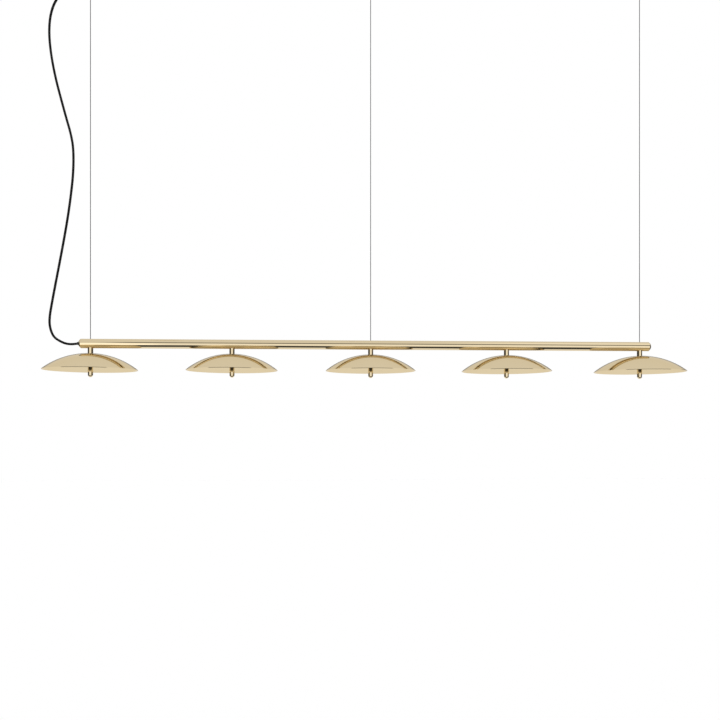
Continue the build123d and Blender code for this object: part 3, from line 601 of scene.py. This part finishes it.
class Sums:
    """Arithmetic nodes of one node tree; a value is a number or another node's output."""

    def __init__(self, tree):
        self.nodes, self.links = tree.nodes, tree.links

    def feed(self, socket, value):
        if isinstance(value, (int, float)):
            socket.default_value = value
        else:
            self.links.new(value, socket)

    def maths(self, operation, *values):
        node = self.nodes.new("ShaderNodeMath")
        node.operation = operation
        for socket, value in zip(node.inputs, values):
            self.feed(socket, value)
        return node.outputs[0]

    def plus(self, first, second):
        return self.maths("ADD", first, second)

    def minus(self, first, second):
        return self.maths("SUBTRACT", first, second)

    def times(self, first, *others):
        for other in others:
            first = self.maths("MULTIPLY", first, other)
        return first

    def larger(self, first, *others):
        for other in others:
            first = self.maths("MAXIMUM", first, other)
        return first

    def rise(self, value, start, end):
        """0 below start, 1 above end, smooth between them."""
        node = self.nodes.new("ShaderNodeMapRange")
        node.interpolation_type = "SMOOTHSTEP"
        self.feed(node.inputs["Value"], value)
        self.feed(node.inputs["From Min"], start)
        self.feed(node.inputs["From Max"], end)
        return node.outputs["Result"]

    def fall(self, value, start, end):
        """1 below start, 0 above end."""
        return self.minus(1.0, self.rise(value, start, end))

    def within(self, value, low, high, blur):
        """1 between low and high."""
        up = self.rise(value, self.minus(low, blur / 2), self.plus(low, blur / 2))
        return self.times(up, self.fall(value, high - blur / 2, high + blur / 2))


def add_reflected_rays(sums, plain, reflected, output):
    """Reflections and refractions see one shader, and all else sees the plain one."""
    ray = sums.nodes.new("ShaderNodeLightPath").outputs
    mix = sums.nodes.new("ShaderNodeMixShader")
    sums.links.new(sums.larger(ray["Is Glossy Ray"], ray["Is Transmission Ray"]), mix.inputs["Fac"])
    sums.links.new(plain, mix.inputs[1])
    sums.links.new(reflected, mix.inputs[2])
    sums.links.new(mix.outputs["Shader"], output)


def panel_light(sums, x, pitch, front_turn):
    """Level of the walls and the panels on them, before the gaps are cut out."""
    def lit(panel, *masks):
        upright = sums.within(pitch, *panel["pitch"], panel["blur"])
        return sums.times(panel["level"] - WALLS, upright, *masks)

    level = WALLS
    for panel in (
        lit(FRONT_PANEL, front_turn),
        lit(LEFT_LAMP, sums.rise(x, *LEFT_LAMP["from_x"]), sums.fall(x, *LEFT_LAMP["to_x"])),
        lit(RIGHT_PANEL, sums.rise(x, *RIGHT_PANEL["from_x"])),
        lit(SWEEP),
    ):
        level = sums.plus(level, panel)
    return level


def gap_share(sums, x, z, pitch, turn, front_turn):
    """1 in the dark gaps: one above the front panel, one on the floor before the white sweep, which is
    wider to both sides, and one round the sides and back at eye level, which is narrower at the back."""
    sideways = sums.maths("ABSOLUTE", x)
    height = sums.maths("DEGREES", sums.maths("ARCSINE", z))
    near = sums.fall(sideways, *GAP_SIDES)

    above = sums.times(sums.within(pitch, *GAP_ABOVE["pitch"], GAP_ABOVE["blur"]), near,
                       sums.rise(x, *GAP_ABOVE["from_x"]))

    wider = sums.times(sums.rise(sideways, *GAP_BELOW["wider_x"]), GAP_BELOW["wider"])
    low, high = GAP_BELOW["pitch"]
    below = sums.times(sums.within(pitch, sums.minus(low, wider), high, GAP_BELOW["blur"]), near)

    at_back = sums.rise(sums.maths("ABSOLUTE", turn), *GAP_ROUND["back_turn"])
    round_low = sums.plus(GAP_ROUND["low"], sums.times(at_back, GAP_ROUND["back_low"] - GAP_ROUND["low"]))
    half = GAP_ROUND["blur"] / 2
    round_about = sums.times(sums.rise(height, sums.minus(round_low, half), sums.plus(round_low, half)),
                             sums.fall(height, *GAP_ROUND["fade_up"]), sums.minus(1.0, front_turn))
    return sums.larger(above, below, round_about)


def add_world():
    """Even white studio, whose panels and dark gaps only reflections see."""
    world = bpy.data.worlds.new("studio")
    bpy.context.scene.world = world
    world.use_nodes = True
    nodes, links = world.node_tree.nodes, world.node_tree.links
    nodes.clear()
    sums = Sums(world.node_tree)

    direction = nodes.new("ShaderNodeTexCoord")
    split = nodes.new("ShaderNodeSeparateXYZ")
    links.new(direction.outputs["Generated"], split.inputs["Vector"])
    x, y, z = split.outputs
    forward = sums.times(y, -1.0)
    pitch = sums.maths("DEGREES", sums.maths("ARCTAN2", z, forward))
    turn = sums.maths("DEGREES", sums.maths("ARCTAN2", x, forward))
    front_turn = sums.within(turn, *FRONT_PANEL["turn"], FRONT_PANEL["turn_blur"])
    dark = gap_share(sums, x, z, pitch, turn, front_turn)
    open_share = sums.minus(1.0, sums.times(dark, 1.0 - GAP_LEVEL))

    plain = add_node(nodes, "ShaderNodeBackground", Color=grey(1.0))
    studio = add_node(nodes, "ShaderNodeBackground", Color=grey(1.0))
    level = panel_light(sums, x, pitch, front_turn)
    links.new(sums.times(open_share, level), studio.inputs["Strength"])
    seen = nodes.new("ShaderNodeOutputWorld").inputs["Surface"]
    add_reflected_rays(sums, plain.outputs["Background"], studio.outputs["Background"], seen)


def add_floor():
    """Wide white floor; reflections look through it to the studio."""
    s = FLOOR_SIZE / 2
    corners = [(-s, -s, FLOOR_Z), (s, -s, FLOOR_Z), (s, s, FLOOR_Z), (-s, s, FLOOR_Z)]
    mesh = bpy.data.meshes.new("floor")
    mesh.from_pydata(corners, [], [(0, 1, 2, 3)])

    material = bpy.data.materials.new("white_floor")
    material.use_nodes = True
    nodes = material.node_tree.nodes
    nodes.remove(nodes["Principled BSDF"])
    white = add_node(nodes, "ShaderNodeBsdfDiffuse", Color=grey(1.0))
    clear = nodes.new("ShaderNodeBsdfTransparent")
    add_reflected_rays(Sums(material.node_tree), white.outputs["BSDF"], clear.outputs["BSDF"],
                       nodes["Material Output"].inputs["Surface"])
    mesh.materials.append(material)

    floor = bpy.data.objects.new("floor", mesh)
    bpy.context.scene.collection.objects.link(floor)


# ---- the scene ----
add_camera()
add_power_cord(cord_jacket())
add_cables(worked_metal("stranded_steel", (0.095, 0.095, 0.098), 0.38, 900.0, edge_tint=ROPE_EDGE_TINT))

polished = polished_brass()
add_dishes(polished)
add_rail(polished)
add_end_caps(polished)
add_stems(polished)
add_finials(polished)
add_springs(worked_metal("drawn_spring_wire", (0.40, 0.40, 0.42), 0.3, 2000.0))
dress_fittings(polished)

add_world()
add_floor()
bpy.context.scene.view_settings.view_transform = "Standard"
